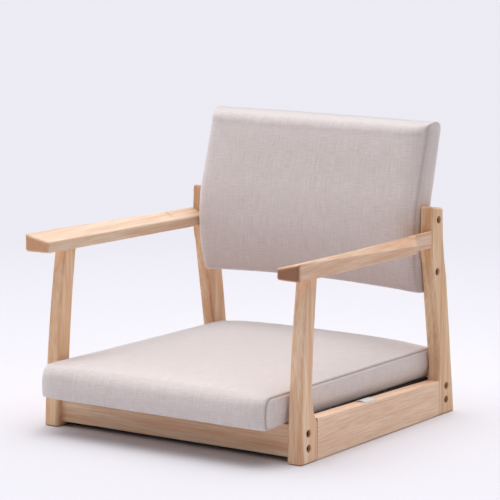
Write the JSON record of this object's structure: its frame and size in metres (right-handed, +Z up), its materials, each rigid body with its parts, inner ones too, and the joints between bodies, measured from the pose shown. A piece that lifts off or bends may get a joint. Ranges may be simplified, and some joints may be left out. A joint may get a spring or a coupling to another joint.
{
  "type": "floor chair",
  "caption": "Low wooden floor chair with armrests: toed-in side frames standing on full-length floor rails, a bolted padded back and a loose boxed seat cushion.",
  "frame": {"origin": "on the floor, under the middle of the overall box", "axes": "+X towards the viewer's right from the front, which is the sitter's left, -Y towards the front of the chair, +Z up"},
  "size_m": [0.5904, 0.5944, 0.5385],
  "materials": {
    "pale_hardwood": "satin clear lacquer",
    "softwood": "planed, unfinished",
    "plywood": "sanded, unfinished",
    "linen_fabric": "plain linen-look weave",
    "white_tape": "plain woven tape",
    "dark_steel": "black oxide",
    "zinc_steel": "zinc plated"
  },
  "bodies": {
    "frame": {"arm_dowels": "softwood", "armrest_left": "pale_hardwood", "armrest_right": "pale_hardwood", "back_board": "plywood", "back_bolts": "dark_steel", "back_dowels": "softwood", "back_high_rail": "softwood", "back_inserts": "zinc_steel", "back_low_rail": "softwood", "back_pad": "linen_fabric", "back_rear_cover": "linen_fabric", "back_stile_left": "softwood", "back_stile_right": "softwood", "barrel_nuts": "zinc_steel", "cleat_screws": "zinc_steel", "front_bolts": "dark_steel", "front_cleat": "softwood", "front_leg_left": "pale_hardwood", "front_leg_right": "pale_hardwood", "front_rail": "pale_hardwood", "panel_screws": "zinc_steel", "rail_dowels": "softwood", "rear_bolts": "dark_steel", "rear_cleat": "softwood", "rear_post_left": "pale_hardwood", "rear_post_right": "pale_hardwood", "rear_rail": "pale_hardwood", "seat_panel": "plywood", "side_cleat_left": "softwood", "side_cleat_right": "softwood", "side_rail_left": "pale_hardwood", "side_rail_right": "pale_hardwood", "tape_tab_left": "white_tape", "tape_tab_right": "white_tape"},
    "cushion": {"seat_cushion": "linen_fabric"}
  },
  "joints": [
    {"name": "cushion_slide", "type": "slide", "parent": "frame", "child": "cushion", "axis": [0, -1, 0], "range_m": [0, 0.53]}
  ]
}
